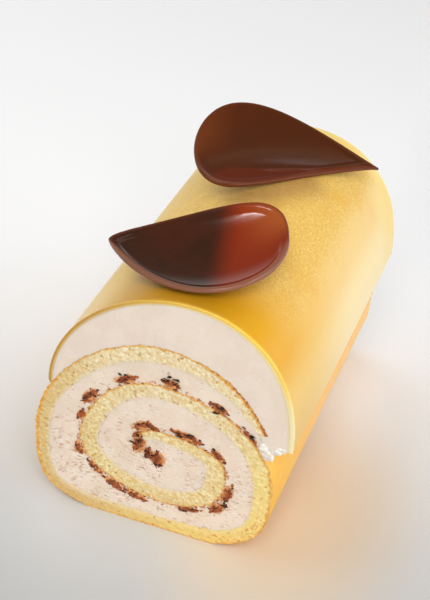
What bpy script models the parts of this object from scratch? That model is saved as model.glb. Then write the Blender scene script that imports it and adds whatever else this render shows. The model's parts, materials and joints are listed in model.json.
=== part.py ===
"""Swiss roll cake, in metres with +Z up.

A sponge sheet is rolled up with cream and caramel nut pieces. A mousse dome lies along its top,
under a thin mango glaze, and two curved chocolate petals rest on the glaze. The cut face with
the roll's spiral looks along -Y. The origin is in the middle of the flat base.
"""

import math
import random

import bmesh
import bpy
from mathutils import Vector

# Smooth shading, rounded edges and the welding of a slab's faces
SHARP_ANGLE = math.radians(40)
BEVEL_ANGLE = math.radians(50)
BEVEL_SEGMENTS = 2
WELD = 0.00001

# Whole cake
LENGTH = 0.1274
FRONT = -LENGTH / 2
BACK = LENGTH / 2
GAP = 0.0003

# The rolled sponge. Its skin is a spiral: every quarter turn is a quarter of a superellipse
# round the core. REACHES are the spiral's distances from the core, going left, up, right and
# down in turn, and POWERS say how square each quarter is. The skin's lowest SAG is pressed flat.
CORE_X = 0.0020
CORE_Z = 0.0315
REACHES = (0.0096, 0.0115, 0.0245, 0.0190, 0.0280, 0.0310, 0.0409, 0.0322, 0.0449, 0.0464, 0.0414)
POWERS = (2.0, 2.4, 2.6, 1.85, 1.85, 1.95, 3.3, 3.9, 1.72, 2.2)
INNER_END = 0.55
OUTER_END = 9.70
MOUTH_TURN = OUTER_END - 4
STEPS_A_QUARTER = 12
SKIN_ROUNDING = 2
SAG = 0.0007
LINING_ROUNDING = 4

# Thickness of the sponge sheet, at quarter turns counted from the core. It is rolled thinner
# and thicker by hand, and tapers at both ends.
THICKNESS = (
    (0.55, 0.0030), (1.0, 0.0040), (1.6, 0.0055), (2.0, 0.0070), (3.0, 0.0060),
    (4.0, 0.0062), (5.0, 0.0050), (6.0, 0.0060), (7.0, 0.0052), (8.0, 0.0045),
    (9.0, 0.0060), (9.5, 0.0045), (9.7, 0.0025),
)

# The mousse dome and its glaze: an arch of two superellipse quarters over the roll
APEX_X = 0.0095
SPRING_Z = 0.0520
MOUSSE_TOP_Z = 0.0943
MOUSSE_LEFT = 0.0450
MOUSSE_RIGHT = 0.0365
LEFT_POWER = 1.87
RIGHT_POWER = 2.2
ARCH_STEPS = 14
FOOT_SHARE = 0.025
GLAZE_THICKNESS = 0.0015
GLAZE_ROUNDING = 0.0004
DOME_FOOT = (0.0460, 0.0496)
DOME_CORNER = (0.0416, 0.0472)
DOME_LEFT_TURN = 8.33
DOME_RIGHT_TURN = 5.745
MOUTH_CLEARANCE = 0.02

# Caramel nut pieces in the front cut: quarter turn, height over the skin, length and width.
# The first two lie in the core, inside the spiral and short of the sponge's inner end.
FRONT_BITS = (
    (0.00, -0.0122, 0.0060, 0.0048),
    (0.25, -0.0048, 0.0066, 0.0044),
    (0.72, 0.0004, 0.0050, 0.0034),
    (1.22, 0.0004, 0.0082, 0.0036),
    (1.62, 0.0004, 0.0048, 0.0030),
    (2.15, 0.0004, 0.0058, 0.0034),
    (2.40, 0.0006, 0.0058, 0.0046),
    (2.74, 0.0004, 0.0078, 0.0024),
    (3.17, 0.0004, 0.0062, 0.0036),
    (3.38, 0.0008, 0.0044, 0.0030),
    (3.58, 0.0004, 0.0058, 0.0026),
    (3.81, 0.0004, 0.0046, 0.0036),
    (4.20, 0.0004, 0.0040, 0.0028),
    (4.39, 0.0004, 0.0066, 0.0046),
    (4.72, 0.0006, 0.0078, 0.0032),
    (5.06, 0.0004, 0.0054, 0.0034),
    (5.33, 0.0004, 0.0050, 0.0032),
)
BIT_DEPTH = 0.0030
BIT_PROUD = 0.0006
BIT_SIDES = 6
BIT_RINGS = 4

# Pieces in the back cut, spread along the roll by chance
BACK_BIT_COUNT = 17
BACK_FIRST_TURN = 0.8
BACK_LAST_TURN = 5.3
BACK_BIT_HEIGHTS = (0.0004, 0.0007)
BACK_BIT_LENGTHS = (0.0040, 0.0070)
BACK_BIT_WIDTHS = (0.0024, 0.0036)
BACK_SPREAD = 0.2
BACK_SEED = 11

# Chocolate petals: a teardrop with the powers "point" at its tip and "tail" at its round end.
# Its axis bows sideways, and it curls along and across with the two radii.
PETAL_THICKNESS = 0.0014
PETAL_ROUNDING = 0.0004
PETAL_STEPS_LONG = 26
PETAL_STEPS_WIDE = 10
PETAL_WELD = 0.00005
FRONT_PETAL = {
    "length": 0.0579, "half_width": 0.0210, "point": 0.73, "tail": 0.40, "bow": -0.0072,
    "radius_across": 0.0502, "radius_along": 0.0994, "twist": 0.4,
    "place": (0.0022, -0.0336, 0.0976), "turn": (5.2, -4.9, 21.7),
}
BACK_PETAL = {
    "length": 0.0692, "half_width": 0.0189, "point": 1.14, "tail": 0.47, "bow": -0.0109,
    "radius_across": 0.0604, "radius_along": 0.1525, "twist": 0.4,
    "place": (0.0121, 0.0263, 0.0966), "turn": (-20.9, -8.2, -145.6),
}


def remove_everything():
    """Empty the file of objects."""
    for thing in list(bpy.data.objects):
        bpy.data.objects.remove(thing, do_unlink=True)


def new_collection(name):
    group = bpy.data.collections.new(name)
    bpy.context.scene.collection.children.link(group)
    return group


def new_material(name, colour, roughness):
    material = bpy.data.materials.new(name)
    material.use_nodes = True
    shader = material.node_tree.nodes["Principled BSDF"]
    shader.inputs["Base Color"].default_value = (*colour, 1.0)
    shader.inputs["Roughness"].default_value = roughness
    shader.inputs["Metallic"].default_value = 0.0
    return material


def quarter_point(radius_from, radius_to, power, share):
    """A point a share of the way round a superellipse quarter, along its two radii."""
    angle = share * math.pi / 2
    along = radius_from * max(math.cos(angle), 0.0) ** (2 / power)
    across = radius_to * max(math.sin(angle), 0.0) ** (2 / power)
    return along, across


def spiral_point(turn):
    """The skin of the roll at a number of quarter turns from the core, clockwise from left."""
    ways = ((-1, 0), (0, 1), (1, 0), (0, -1))
    quarter = min(int(turn), len(POWERS) - 1)
    share = turn - quarter
    along, across = quarter_point(REACHES[quarter], REACHES[quarter + 1], POWERS[quarter], share)
    way_from = ways[quarter % 4]
    way_to = ways[(quarter + 1) % 4]
    x = CORE_X + along * way_from[0] + across * way_to[0]
    z = CORE_Z + along * way_from[1] + across * way_to[1]
    return Vector((x, z))


def value_at(table, turn):
    """Read a value between the rows of a table of (turn, value)."""
    for (turn_a, value_a), (turn_b, value_b) in zip(table, table[1:]):
        if turn <= turn_b:
            return value_a + (value_b - value_a) * (turn - turn_a) / (turn_b - turn_a)
    return table[-1][1]


def rounded(points, times):
    """Soften a line's corners, and keep its ends."""
    for _ in range(times):
        middle = [(a + 2 * b + c) / 4 for a, b, c in zip(points, points[1:], points[2:])]
        points = [points[0], *middle, points[-1]]
    return points


def moved_inward(points, distances):
    """Move a clockwise line towards the core by a distance at each point."""
    moved = []
    for index, point in enumerate(points):
        before = points[max(index - 1, 0)]
        after = points[min(index + 1, len(points) - 1)]
        way = (after - before).normalized()
        moved.append(point + Vector((way.y, -way.x)) * distances[index])
    return moved


def shifted(points, distance):
    return moved_inward(points, [distance] * len(points))


class Roll:
    """The roll's lines on the cut face: the sponge's skin and its lining on the cream side."""

    def __init__(self):
        count = round((OUTER_END - INNER_END) * STEPS_A_QUARTER)
        step = (OUTER_END - INNER_END) / count
        self.turns = [INNER_END + step * index for index in range(count + 1)]
        self.skin = rounded([spiral_point(turn) for turn in self.turns], SKIN_ROUNDING)
        for point in self.skin:
            point.y = point.y if point.y > SAG else 0.0
        thickness = [value_at(THICKNESS, turn) for turn in self.turns]
        self.lining = rounded(moved_inward(self.skin, thickness), LINING_ROUNDING)

    def point_at(self, points, turn):
        """The place on a line at a number of quarter turns."""
        return value_at(list(zip(self.turns, points)), turn)

    def stretch(self, points, turn_from, turn_to):
        """The part of a line between two turns, with both its ends."""
        inside = [point for point, turn in zip(points, self.turns) if turn_from < turn < turn_to]
        return [self.point_at(points, turn_from), *inside, self.point_at(points, turn_to)]


def sponge_outline(roll):
    return [*roll.skin, *reversed(roll.lining)]


def cream_outline(roll):
    """The space between the lining and the skin one full turn further in, round the inner end."""
    outer = shifted(roll.lining, GAP)
    inner = roll.stretch(shifted(roll.skin, -GAP), INNER_END, MOUTH_TURN)
    way = (roll.skin[0] - roll.skin[1]).normalized() * GAP
    return [*reversed(outer), outer[0] + way, inner[0] + way, *inner]


def arch(left, right, rise):
    """The dome's line from its left side over the apex to its right side."""
    points = []
    for step in range(ARCH_STEPS + 1):
        share = FOOT_SHARE + (1 - FOOT_SHARE) * step / ARCH_STEPS
        out, up = quarter_point(left, rise, LEFT_POWER, share)
        points.append(Vector((APEX_X - out, SPRING_Z + up)))
    for step in range(1, ARCH_STEPS + 1):
        up, out = quarter_point(rise, right, RIGHT_POWER, step / ARCH_STEPS)
        points.append(Vector((APEX_X + out, SPRING_Z + up)))
    return points


def mousse_outline(roll):
    """The arch, its foot on the right, and the roll below it with the mouth of the cream."""
    skin = shifted(roll.skin, -GAP)
    over = arch(MOUSSE_LEFT, MOUSSE_RIGHT, MOUSSE_TOP_Z - SPRING_Z)
    foot = [Vector(DOME_FOOT), Vector(DOME_CORNER)]
    side = roll.stretch(skin, MOUTH_TURN + MOUTH_CLEARANCE, DOME_RIGHT_TURN)
    past_end = (roll.skin[-1] - roll.skin[-2]).normalized() * 2 * GAP
    mouth = [roll.lining[-1] + past_end, roll.skin[-1] + past_end]
    top = roll.stretch(skin, DOME_LEFT_TURN, OUTER_END)
    return [*over, *foot, *reversed(side), *mouth, *reversed(top)]


def glaze_outline():
    """A thin band over the mousse, from its left foot to its right one."""
    rise = MOUSSE_TOP_Z - SPRING_Z
    outer_by = GAP + GLAZE_THICKNESS
    inner = arch(MOUSSE_LEFT + GAP, MOUSSE_RIGHT + GAP, rise + GAP)
    outer = arch(MOUSSE_LEFT + outer_by, MOUSSE_RIGHT + outer_by, rise + outer_by)
    inner_foot = Vector((DOME_FOOT[0] + GAP, DOME_FOOT[1]))
    outer_foot = Vector((DOME_FOOT[0] + outer_by, DOME_FOOT[1]))
    return [*outer, outer_foot, inner_foot, *reversed(inner)]


def slab(name, outline, group, material):
    """Run a flat outline in X and Z through the whole length of the cake, as a mesh."""
    curve = bpy.data.curves.new(name + "_outline", "CURVE")
    curve.dimensions = "2D"
    curve.fill_mode = "BOTH"
    curve.extrude = LENGTH / 2
    spline = curve.splines.new("POLY")
    spline.points.add(len(outline) - 1)
    for place, point in zip(spline.points, outline):
        place.co = (point.x, point.y, 0.0, 1.0)
    spline.use_cyclic_u = True
    guide = bpy.data.objects.new(name + "_outline", curve)
    group.objects.link(guide)
    guide.rotation_euler = (math.pi / 2, 0.0, 0.0)
    bpy.context.view_layer.update()
    graph = bpy.context.evaluated_depsgraph_get()
    mesh = bpy.data.meshes.new_from_object(guide.evaluated_get(graph))
    piece = bpy.data.objects.new(name, mesh)
    piece.matrix_world = guide.matrix_world
    bpy.data.objects.remove(guide, do_unlink=True)
    group.objects.link(piece)
    shape = bmesh.new()
    shape.from_mesh(mesh)
    bmesh.ops.remove_doubles(shape, verts=shape.verts, dist=WELD)
    bmesh.ops.recalc_face_normals(shape, faces=shape.faces)
    shape.to_mesh(mesh)
    shape.free()
    mesh.name = name
    mesh.materials.clear()
    mesh.materials.append(material)
    mesh.shade_smooth()
    mesh.set_sharp_from_angle(angle=SHARP_ANGLE)
    return piece


def round_edges(piece, width):
    bevel = piece.modifiers.new("rounded edges", "BEVEL")
    bevel.width = width
    bevel.segments = BEVEL_SEGMENTS
    bevel.limit_method = "ANGLE"
    bevel.angle_limit = BEVEL_ANGLE


def bit_place(turn, over_skin, width):
    """Centre of a nut piece that lies on the skin in the cut face, and its tilt there."""
    here = spiral_point(turn)
    way = (spiral_point(turn + 1 / STEPS_A_QUARTER) - here).normalized()
    outward = Vector((-way.y, way.x))
    return here + outward * (over_skin + width / 2), math.atan2(way.y, way.x)


def nut_piece(number, row, side_y, proud_way, group):
    """A low lump that stands a little out of the cut face."""
    turn, over_skin, length, width = row
    centre, tilt = bit_place(turn, over_skin, width)
    shape = bmesh.new()
    bmesh.ops.create_uvsphere(shape, u_segments=BIT_SIDES, v_segments=BIT_RINGS, radius=0.5)
    for vert in shape.verts:
        vert.co = Vector((vert.co.x * length, vert.co.y * BIT_DEPTH, vert.co.z * width))
    mesh = bpy.data.meshes.new("nut_piece")
    shape.to_mesh(mesh)
    shape.free()
    piece = bpy.data.objects.new("nut_piece_%02d" % number, mesh)
    y = side_y + proud_way * (BIT_PROUD - BIT_DEPTH / 2)
    piece.location = (centre.x, y, centre.y)
    piece.rotation_euler = (0.0, -tilt, 0.0)
    group.objects.link(piece)


def back_bits():
    """Rows for the back cut, evenly spread along the roll and uneven in size."""
    chance = random.Random(BACK_SEED)
    rows = []
    spread = (BACK_LAST_TURN - BACK_FIRST_TURN) / (BACK_BIT_COUNT - 1)
    for index in range(BACK_BIT_COUNT):
        turn = BACK_FIRST_TURN + spread * (index + chance.uniform(-BACK_SPREAD, BACK_SPREAD))
        over_skin = chance.uniform(*BACK_BIT_HEIGHTS)
        length = chance.uniform(*BACK_BIT_LENGTHS)
        width = chance.uniform(*BACK_BIT_WIDTHS)
        rows.append((turn, over_skin, length, width))
    return rows


def fuse_bits(cream):
    """Join the nut pieces of both cuts to the cream."""
    bits = new_collection("nut pieces")
    for number, row in enumerate(FRONT_BITS):
        nut_piece(number, row, FRONT, -1, bits)
    for number, row in enumerate(back_bits(), start=len(FRONT_BITS)):
        nut_piece(number, row, BACK, 1, bits)
    union = cream.modifiers.new("nut pieces", "BOOLEAN")
    union.operation = "UNION"
    union.operand_type = "COLLECTION"
    union.collection = bits
    union.solver = "EXACT"
    bpy.context.view_layer.update()
    graph = bpy.context.evaluated_depsgraph_get()
    fused = bpy.data.meshes.new_from_object(cream.evaluated_get(graph))
    cream.modifiers.clear()
    cream.data = fused
    for bit in list(bits.objects):
        bpy.data.objects.remove(bit, do_unlink=True)
    bpy.data.collections.remove(bits)


def petal(name, sizes, group, material):
    """A curled chocolate teardrop: a bent sheet with some thickness and a rounded rim."""
    point = sizes["point"]
    tail = sizes["tail"]
    widest = point / (point + tail)
    full = widest ** point * (1 - widest) ** tail
    shape = bmesh.new()
    bmesh.ops.create_grid(
        shape, x_segments=PETAL_STEPS_LONG, y_segments=PETAL_STEPS_WIDE, size=1.0)
    for vert in shape.verts:
        share = (1 + math.sin(vert.co.x * math.pi / 2)) / 2
        share = min(max(share, 0.0), 1.0)
        taper = share ** point * (1 - share) ** tail / full
        across = vert.co.y * sizes["half_width"] * taper
        along = sizes["length"] * (share - 0.5)
        lift = across ** 2 / (2 * sizes["radius_across"]) + along ** 2 / (2 * sizes["radius_along"])
        lift += sizes["twist"] * along * across
        bow = sizes["bow"] * 4 * share * (1 - share)
        vert.co = Vector((along, across + bow, lift))
    bmesh.ops.remove_doubles(shape, verts=shape.verts, dist=PETAL_WELD)
    mesh = bpy.data.meshes.new(name)
    shape.to_mesh(mesh)
    shape.free()
    mesh.materials.append(material)
    mesh.shade_smooth()
    piece = bpy.data.objects.new(name, mesh)
    piece.location = sizes["place"]
    piece.rotation_euler = [math.radians(angle) for angle in sizes["turn"]]
    group.objects.link(piece)
    sheet = piece.modifiers.new("thickness", "SOLIDIFY")
    sheet.thickness = PETAL_THICKNESS
    sheet.offset = 0.0
    round_edges(piece, PETAL_ROUNDING)
    return piece


def build():
    remove_everything()
    group = new_collection("swiss roll cake")
    roll = Roll()
    sponge = new_material("sponge", (0.80, 0.62, 0.30), 0.85)
    cream = new_material("cream", (0.78, 0.62, 0.53), 0.6)
    mousse = new_material("mousse", (0.84, 0.72, 0.64), 0.6)
    glaze = new_material("glaze", (0.82, 0.52, 0.10), 0.3)
    chocolate = new_material("chocolate", (0.09, 0.025, 0.012), 0.25)
    slab("sponge", sponge_outline(roll), group, sponge)
    fuse_bits(slab("cream", cream_outline(roll), group, cream))
    slab("mousse", mousse_outline(roll), group, mousse)
    skin = slab("glaze", glaze_outline(), group, glaze)
    round_edges(skin, GLAZE_ROUNDING)
    petal("petal_front", FRONT_PETAL, group, chocolate)
    petal("petal_back", BACK_PETAL, group, chocolate)


build()
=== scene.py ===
# %% [markdown]
# # A swiss roll cake with mousse, mango glaze and chocolate petals
#
# The cake is one long slice of a simple idea: a flat section, the cut face, run through the
# length of the roll. So every layer here starts as a fine grid that fills its own part of the
# cut face, and an extrusion carries it to the back. The fine grid is what makes the difference
# between a drawing of a cake and a cake, because it can be pushed in and out into real crumb,
# pores and tears. We first load the plain solids of the cake, whose places and sizes everything
# below keeps.

# %% Load the cake's frame
import json
import math
import random

import bmesh
import bpy
from mathutils import Matrix, Vector, kdtree, noise

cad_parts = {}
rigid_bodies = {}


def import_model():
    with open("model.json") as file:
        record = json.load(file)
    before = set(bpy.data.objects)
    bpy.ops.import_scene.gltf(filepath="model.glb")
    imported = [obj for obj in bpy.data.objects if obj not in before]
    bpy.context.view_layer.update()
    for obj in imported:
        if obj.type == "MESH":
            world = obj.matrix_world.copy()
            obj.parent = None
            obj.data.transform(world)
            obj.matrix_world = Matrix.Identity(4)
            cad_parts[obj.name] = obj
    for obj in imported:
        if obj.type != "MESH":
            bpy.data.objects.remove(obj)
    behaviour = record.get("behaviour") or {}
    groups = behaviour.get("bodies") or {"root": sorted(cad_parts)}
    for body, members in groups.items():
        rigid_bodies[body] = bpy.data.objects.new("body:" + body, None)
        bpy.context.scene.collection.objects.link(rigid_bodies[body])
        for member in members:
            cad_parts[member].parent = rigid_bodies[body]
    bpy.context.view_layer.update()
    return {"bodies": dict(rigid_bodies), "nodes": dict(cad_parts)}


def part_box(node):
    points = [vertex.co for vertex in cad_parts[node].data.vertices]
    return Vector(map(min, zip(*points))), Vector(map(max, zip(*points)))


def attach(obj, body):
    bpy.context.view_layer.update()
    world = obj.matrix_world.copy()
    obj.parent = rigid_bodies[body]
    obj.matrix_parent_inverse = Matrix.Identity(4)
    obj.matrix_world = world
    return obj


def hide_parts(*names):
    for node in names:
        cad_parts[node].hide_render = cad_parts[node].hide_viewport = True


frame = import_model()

MM = 0.001
body = next(iter(frame["bodies"]))
sponge_low, sponge_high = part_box("sponge")
FRONT = sponge_low.y
BACK = sponge_high.y
LENGTH = BACK - FRONT
print("cake length", round(LENGTH / MM, 1), "mm, layers:", sorted(frame["nodes"]))

# %% [markdown]
# ## Camera
#
# The photograph looks down on the cake from about 35 degrees, from a little to the right of the
# cut face, and the camera is turned by a few degrees. A long lens stands far off, so the back of
# the roll shrinks only a little. We place the camera by those angles and by the point where it
# stands, which keeps the numbers readable.

# %% Place the camera
CAMERA_PLACE = Vector((0.1229, -0.3853, 0.3402))
CAMERA_DOWN = math.radians(35.29)
CAMERA_AROUND = math.radians(17.98)
CAMERA_ROLL = math.radians(4.0)
LENS_FOR_LONG_SIDE = 82.79

camera_data = bpy.data.cameras.new("camera")
camera_data.sensor_fit = "VERTICAL"
camera_data.sensor_height = 36.0
camera_data.lens = LENS_FOR_LONG_SIDE
camera = bpy.data.objects.new("camera", camera_data)
around = Matrix.Rotation(CAMERA_AROUND, 4, "Z")
down = Matrix.Rotation(math.pi / 2 - CAMERA_DOWN, 4, "X")
roll_turn = Matrix.Rotation(CAMERA_ROLL, 4, "Z")
camera.matrix_world = Matrix.Translation(CAMERA_PLACE) @ around @ down @ roll_turn
bpy.context.scene.collection.objects.link(camera)
bpy.context.scene.camera = camera
print("camera at", [round(value, 3) for value in camera.location])

# %% [markdown]
# ## The spiral of the roll
#
# A rolled sheet makes a spiral, but a soft one sags: flatter below, rounder above. A quarter of
# a superellipse is a quarter circle that can be made more or less square, so the spiral is drawn
# as one such quarter after another, each reaching a little further from the core. The line of
# the skin is the outside of the sponge, and the lining is its other side, one sheet thickness
# further in. These are the solids' own sizes again, in metres.

# %% Draw the skin and the lining of the rolled sheet
CORE = Vector((0.0020, 0.0315))
REACHES = (0.0096, 0.0115, 0.0245, 0.0190, 0.0280, 0.0310, 0.0409, 0.0322, 0.0449, 0.0464, 0.0414)
POWERS = (2.0, 2.4, 2.6, 1.85, 1.85, 1.95, 3.3, 3.9, 1.72, 2.2)
INNER_END = 0.55
OUTER_END = 9.70
FULL_TURN = 4
MOUTH_TURN = OUTER_END - FULL_TURN
STEPS_A_QUARTER = 12
SAG = 0.0007
THICKNESS = (
    (0.55, 0.0030), (1.0, 0.0040), (1.6, 0.0055), (2.0, 0.0070), (3.0, 0.0060),
    (4.0, 0.0062), (5.0, 0.0050), (6.0, 0.0060), (7.0, 0.0052), (8.0, 0.0045),
    (9.0, 0.0060), (9.5, 0.0045), (9.7, 0.0025),
)


def quarter_point(radius_from, radius_to, power, share):
    """A point a share of the way round a superellipse quarter, along its two radii."""
    angle = share * math.pi / 2
    along = radius_from * max(math.cos(angle), 0.0) ** (2 / power)
    across = radius_to * max(math.sin(angle), 0.0) ** (2 / power)
    return along, across


def spiral_point(turn):
    """The skin at a number of quarter turns from the core, clockwise from the left."""
    ways = (Vector((-1, 0)), Vector((0, 1)), Vector((1, 0)), Vector((0, -1)))
    quarter = min(int(turn), len(POWERS) - 1)
    share = turn - quarter
    along, across = quarter_point(REACHES[quarter], REACHES[quarter + 1], POWERS[quarter], share)
    return CORE + along * ways[quarter % 4] + across * ways[(quarter + 1) % 4]


def value_at(table, turn):
    """Read a value between the rows of a table of (turn, value)."""
    for (turn_a, value_a), (turn_b, value_b) in zip(table, table[1:]):
        if turn <= turn_b:
            return value_a + (value_b - value_a) * (turn - turn_a) / (turn_b - turn_a)
    return table[-1][1]


def rounded(points, times):
    """Soften a line's corners, and keep its ends."""
    for _ in range(times):
        middle = [(a + 2 * b + c) / 4 for a, b, c in zip(points, points[1:], points[2:])]
        points = [points[0], *middle, points[-1]]
    return points


def moved_inward(points, distances):
    """Move a clockwise line towards the core by a distance at each point."""
    moved = []
    for index, point in enumerate(points):
        before = points[max(index - 1, 0)]
        after = points[min(index + 1, len(points) - 1)]
        way = (after - before).normalized()
        moved.append(point + Vector((way.y, -way.x)) * distances[index])
    return moved


step_count = round((OUTER_END - INNER_END) * STEPS_A_QUARTER)
TURN_STEP = (OUTER_END - INNER_END) / step_count
all_turns = [INNER_END + TURN_STEP * index for index in range(step_count + 1)]
skin_line = rounded([spiral_point(turn) for turn in all_turns], 2)
for skin_point in skin_line:
    skin_point.y = skin_point.y if skin_point.y > SAG else 0.0
lining_line = rounded(
    moved_inward(skin_line, [value_at(THICKNESS, turn) for turn in all_turns]), 4)
print("skin drawn with", len(skin_line), "points, widest", round(max(p.x for p in skin_line) / MM, 1))

# %% [markdown]
# ## Reading a line smoothly
#
# The lines above have a point every few millimetres, and the cut face needs one every third of a
# millimetre. A Catmull-Rom curve passes through the points it is given and stays smooth between
# them, and spacing its points by length instead of by angle keeps the grid's cells alike.

# %% Smooth reading and even spacing
CELL = 0.00036


def smooth_at(line, turn):
    """A place on a spiral line, on the Catmull-Rom curve through its points."""
    place = min(max((turn - INNER_END) / TURN_STEP, 0.0), len(line) - 1.000001)
    index = int(place)
    share = place - index
    a = line[max(index - 1, 0)]
    b = line[index]
    c = line[index + 1]
    d = line[min(index + 2, len(line) - 1)]
    bend = (2 * a - 5 * b + 4 * c - d) * share ** 2 + (3 * b - a - 3 * c + d) * share ** 3
    return b + 0.5 * ((c - a) * share + bend)


def lengths_along(points):
    """How far along a bent line each of its points lies."""
    reached = [0.0]
    for a, b in zip(points, points[1:]):
        reached.append(reached[-1] + (b - a).length)
    return reached


def spaced(points, count, values=None):
    """Even cells along a bent line, as its points or as values that go with its points."""
    reached = lengths_along(points)
    table = list(zip(reached, values or points))
    return [value_at(table, reached[-1] * index / count) for index in range(count + 1)]


def evenly(line, turn_from, turn_to, cell=CELL):
    """Turns between two, spaced evenly along the line."""
    fine = max(int((turn_to - turn_from) * 90), 8)
    turns = [turn_from + (turn_to - turn_from) * index / fine for index in range(fine + 1)]
    points = [smooth_at(line, turn) for turn in turns]
    count = max(round(lengths_along(points)[-1] / cell), 1)
    return spaced(points, count, turns)


print("one full turn of skin takes", len(evenly(skin_line, 5.0, 9.0)), "cells")

# %% [markdown]
# ## From a grid to a layer
#
# A grid from `create_grid` is a sheet of squares. Laying its rows between two lines of the cut
# face makes a ribbon that fills the layer exactly, with cells that follow its bend. Extruding
# all its faces to the back gives a closed solid. The long edges are then cut into rows, which
# sit closer together near the two cut faces, where the shape changes most. Numbers stored on the
# vertices tell a material later where it is, such as how deep in a pore.

# %% Ribbons, and running them through the cake
SHARP_ANGLE = math.radians(50)


def layer(shape, name):
    """Room for one number on every vertex, which a material can read by its name."""
    return shape.verts.layers.float.new(name)


def ribbon(near, far, cells_across):
    """A grid laid between two lines of points, with a layer that says how far across it is."""
    shape = bmesh.new()
    along = len(near) - 1
    bmesh.ops.create_grid(shape, x_segments=along, y_segments=cells_across, size=1.0)
    across_layer = layer(shape, "across")
    for vert in shape.verts:
        index = round((vert.co.x + 1) / 2 * along)
        across = (vert.co.y + 1) / 2
        place = near[index].lerp(far[index], across)
        vert.co = (place.x, FRONT, place.y)
        vert[across_layer] = across
    return shape


def run_through(shape, rows):
    """Extrude a section from the front cut to the back one, and cut the sides into rows."""
    made = bmesh.ops.extrude_face_region(shape, geom=list(shape.faces), use_keep_orig=True)
    moved = [part for part in made["geom"] if isinstance(part, bmesh.types.BMVert)]
    bmesh.ops.translate(shape, verts=moved, vec=(0.0, LENGTH, 0.0))
    if rows:
        long_edges = [edge for edge in shape.edges
                      if abs(edge.verts[0].co.y - edge.verts[1].co.y) > LENGTH / 2]
        bmesh.ops.subdivide_edges(shape, edges=long_edges, cuts=rows, use_grid_fill=True)
        for vert in shape.verts:
            share = (vert.co.y - FRONT) / LENGTH
            vert.co.y = FRONT + LENGTH * (1 - math.cos(math.pi * share)) / 2
    bmesh.ops.recalc_face_normals(shape, faces=shape.faces)


def join_in(whole, part):
    """Move all that one bmesh holds into another."""
    mesh = bpy.data.meshes.new("part")
    part.to_mesh(mesh)
    part.free()
    whole.from_mesh(mesh)
    bpy.data.meshes.remove(mesh)


def new_object(name, shape, material):
    """Turn a bmesh into an object of the scene."""
    mesh = bpy.data.meshes.new(name)
    shape.to_mesh(mesh)
    shape.free()
    mesh.materials.append(material)
    made = bpy.data.objects.new(name, mesh)
    bpy.context.scene.collection.objects.link(made)
    return made


def new_piece(name, shape, material, smooth=True):
    """Turn a bmesh into a piece of the cake that rides with it."""
    piece = new_object(name, shape, material)
    mesh = piece.data
    if smooth:
        mesh.shade_smooth()
        mesh.set_sharp_from_angle(angle=SHARP_ANGLE)
    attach(piece, body)
    triangles = sum(len(face.vertices) - 2 for face in mesh.polygons)
    print(name, "made with", triangles, "triangles")
    return piece


# %% [markdown]
# ## Colours
#
# A colour picked from a screen is in sRGB, and Blender's shaders work in linear light.
# This helper turns the one into the other, so that the colours below can be read as the screen
# colours they stand for. A finish is then built up as a painter would, coat over coat: each coat
# is a colour with a mask that says how much of it shows where.

# %% Colour and node helpers
def screen(red, green, blue):
    """A linear colour from 0 to 255 screen values."""
    linear = []
    for value in (red, green, blue):
        part = value / 255
        linear.append(part / 12.92 if part <= 0.04045 else ((part + 0.055) / 1.055) ** 2.4)
    return (*linear, 1.0)


def add(tree, kind, inputs=None, **settings):
    """A new node with its settings, and its inputs set to values or linked to sockets."""
    made = tree.nodes.new(kind)
    for name, value in settings.items():
        setattr(made, name, value)
    for socket, value in (inputs or {}).items():
        if isinstance(value, bpy.types.NodeSocket):
            tree.links.new(value, made.inputs[socket])
        else:
            made.inputs[socket].default_value = value
    return made


def mixed(tree, factor, colour_a, colour_b):
    """A colour between two, each of which is a colour or a socket."""
    made = add(tree, "ShaderNodeMix", {0: factor, 6: colour_a, 7: colour_b}, data_type="RGBA")
    return made.outputs[2]


def coated(tree, colour, *coats):
    """A colour with others laid over it in turn, each with how much of it shows."""
    for amount, tint in coats:
        colour = mixed(tree, amount, colour, tint)
    return colour


def maths(tree, operation, *values):
    """One Math node on values and sockets."""
    return add(tree, "ShaderNodeMath", dict(enumerate(values)), operation=operation).outputs[0]


def ramp(tree, value, low, high, to_low=0.0, to_high=1.0):
    """A value mapped from one range to another, clamped and eased at both ends."""
    made = add(tree, "ShaderNodeMapRange", {
        "Value": value, "From Min": low, "From Max": high, "To Min": to_low, "To Max": to_high,
    }, interpolation_type="SMOOTHSTEP")
    return made.outputs["Result"]


def read(tree, name):
    """The value of one of the piece's own vertex attributes."""
    return add(tree, "ShaderNodeAttribute", attribute_name=name).outputs["Fac"]


def parted(tree, place):
    """The X, Y and Z of a place: across the cake, along it and up."""
    return add(tree, "ShaderNodeSeparateXYZ", {"Vector": place}).outputs


def new_material(name):
    """A material with one Principled shader, and its tree, shader and Object coordinates."""
    material = bpy.data.materials.new(name)
    material.use_nodes = True
    tree = material.node_tree
    shader = tree.nodes["Principled BSDF"]
    place = add(tree, "ShaderNodeTexCoord").outputs["Object"]
    return material, tree, shader, place


def finish_shader(tree, shader, colour, values):
    """Feed a colour to the shader, and set the values that are the same all over."""
    tree.links.new(colour, shader.inputs["Base Color"])
    for name, value in values.items():
        shader.inputs[name].default_value = value


print("white on the screen is", screen(255, 255, 255)[0], "in linear light, mid grey",
      round(screen(128, 128, 128)[0], 3))

# %% [markdown]
# ## A shared grain
#
# Crumb, cream, frosting and chocolate all have a fine grain, each at its own size. One node
# group makes it: two noises of different size added together, put out as a value from 0 to 1.
# Every material places the group with its own scale, so they look related but not the same.

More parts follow.
